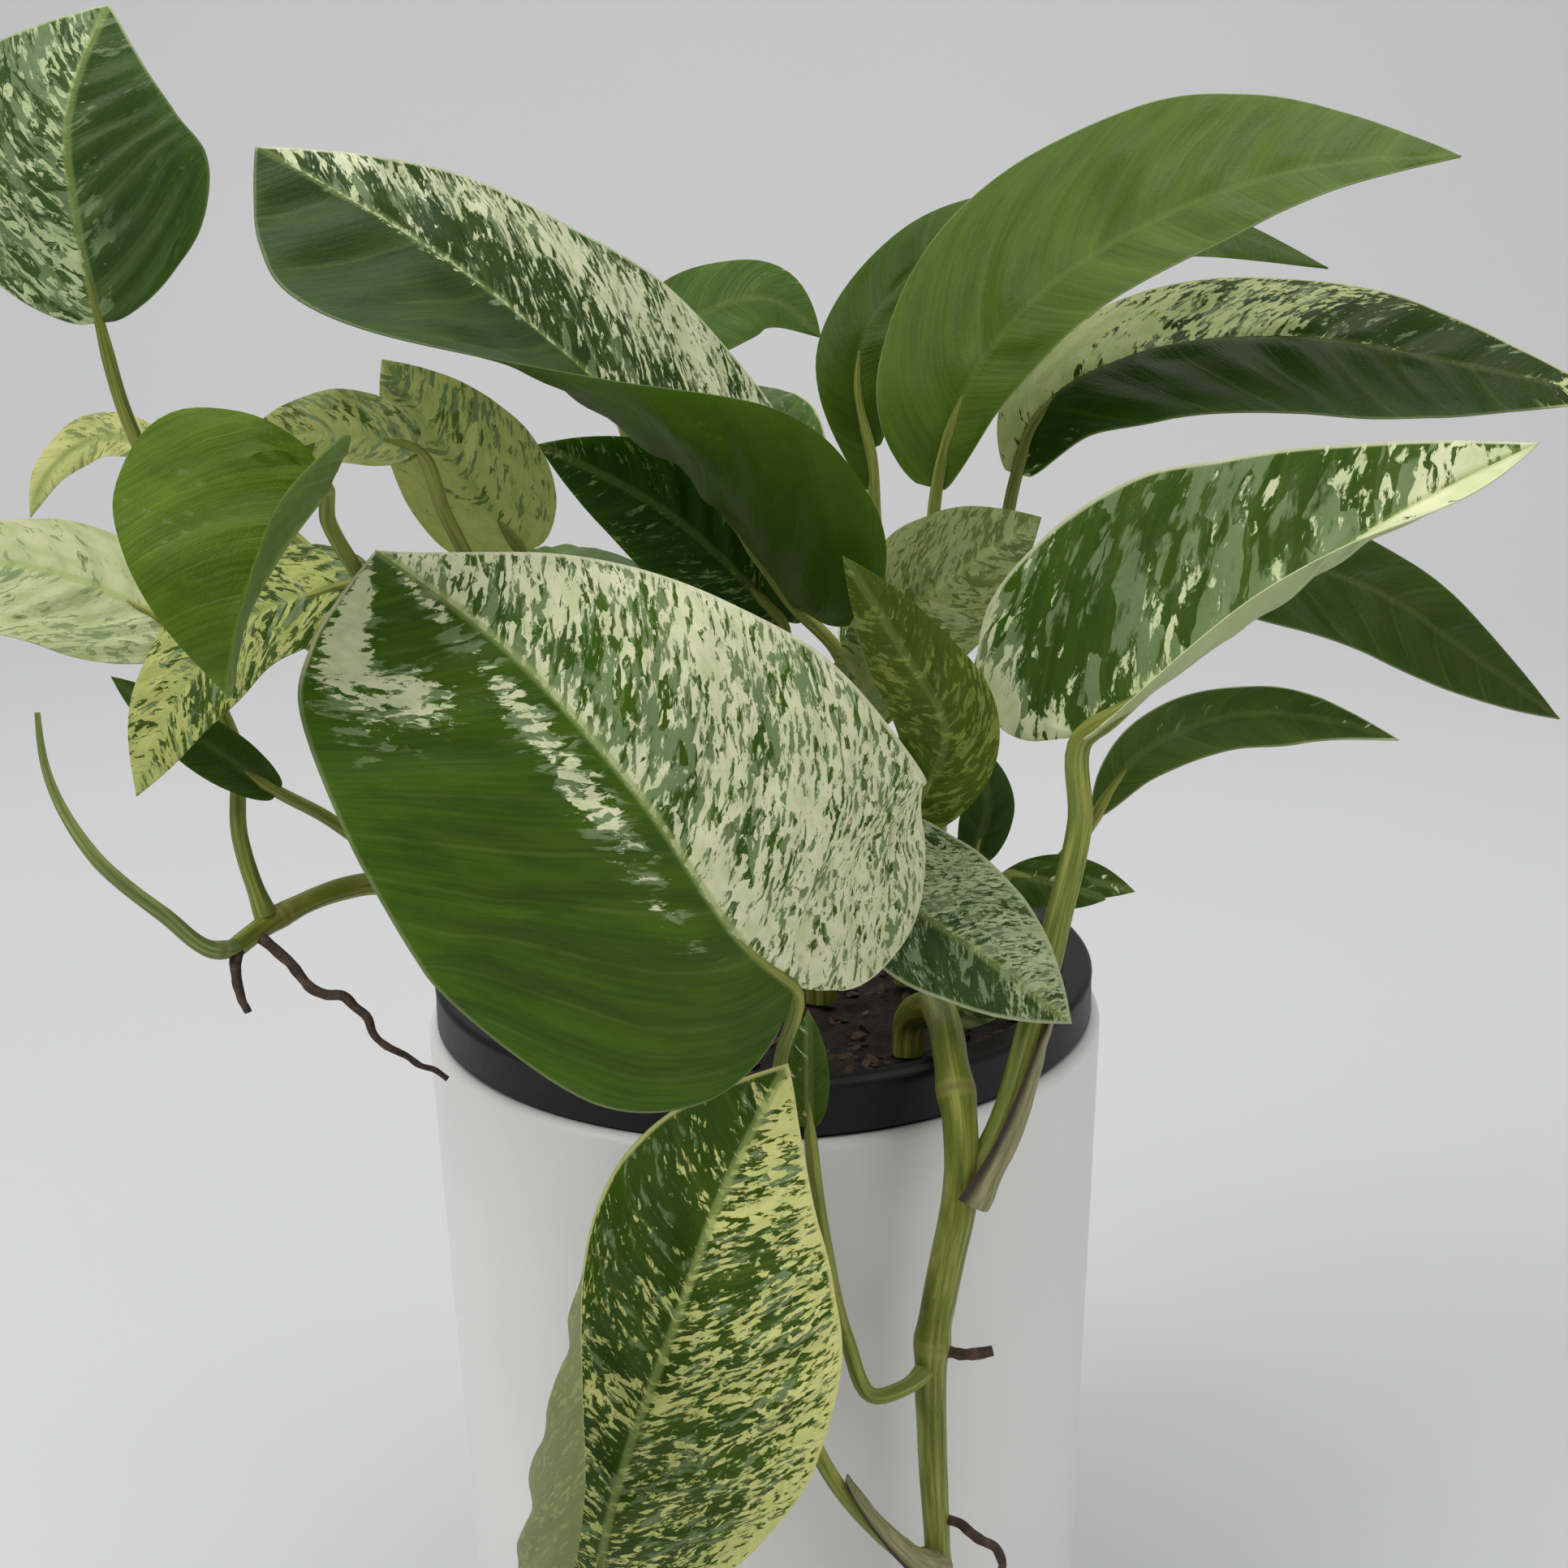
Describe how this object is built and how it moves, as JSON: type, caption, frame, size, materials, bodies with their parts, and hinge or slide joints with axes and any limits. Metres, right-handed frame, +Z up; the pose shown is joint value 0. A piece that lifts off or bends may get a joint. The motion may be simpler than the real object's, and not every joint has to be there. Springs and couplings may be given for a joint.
{
  "type": "potted pothos plant",
  "caption": "Trailing marble-queen pothos with marbled heart-shaped leaves, in a black nursery pot set inside a plain white cylindrical cachepot.",
  "frame": {"origin": "middle of the white pot's base, on the surface that it stands on", "axes": "+Z up along the pots' axis, -Y towards the side that the stem trails over, +X to the right as that side is faced"},
  "size_m": [0.2691, 0.1907, 0.2992],
  "materials": {
    "white_ceramic": "satin white glaze",
    "black_plastic": "matte moulded plastic",
    "soil": "loose potting mix",
    "stem": "smooth living stem",
    "root": "dry aerial root",
    "leaf_green": "waxy leaf",
    "leaf_dark": "waxy leaf",
    "leaf_marbled": "waxy leaf, green marbled with cream",
    "leaf_cream": "waxy leaf, mostly cream"
  },
  "bodies": {
    "root": {"outer_pot": "white_ceramic", "nursery_pot": "black_plastic", "soil": "soil", "stem_trailing": "stem", "stem_left_runner": "stem", "stem_crown_left": "stem", "stem_crown_middle": "stem", "stem_crown_right": "stem", "stem_crown_back": "stem", "root_left": "root", "root_left_stub": "root", "root_front_upper": "root", "root_front_lower": "root", "leaf_left_rolled": "leaf_green", "leaf_left_heart": "leaf_green", "leaf_left_narrow": "leaf_green", "leaf_behind_tip": "leaf_green", "leaf_right_large": "leaf_green", "leaf_right_low": "leaf_green", "leaf_right_small": "leaf_green", "leaf_right_tiny": "leaf_green", "leaf_front_small": "leaf_green", "leaf_back_left": "leaf_green", "leaf_back_low": "leaf_green", "leaf_behind_long": "leaf_dark", "leaf_right_olive": "leaf_dark", "leaf_right_dark": "leaf_dark", "leaf_middle_dark": "leaf_dark", "leaf_front_large": "leaf_marbled", "leaf_front_low": "leaf_marbled", "leaf_left_top": "leaf_marbled", "leaf_left_long": "leaf_marbled", "leaf_left_marbled": "leaf_marbled", "leaf_right_marbled": "leaf_marbled", "leaf_right_folded": "leaf_marbled", "leaf_right_speckled": "leaf_marbled", "leaf_back_middle": "leaf_marbled", "leaf_back_right": "leaf_marbled", "leaf_left_arch": "leaf_cream", "leaf_left_cream": "leaf_cream", "leaf_left_yellow": "leaf_cream", "leaf_left_pale": "leaf_cream", "leaf_behind_cream": "leaf_cream", "leaf_middle_twisted": "leaf_cream", "leaf_middle_pale": "leaf_cream", "leaf_soil_pale": "leaf_cream"}
  },
  "joints": []
}
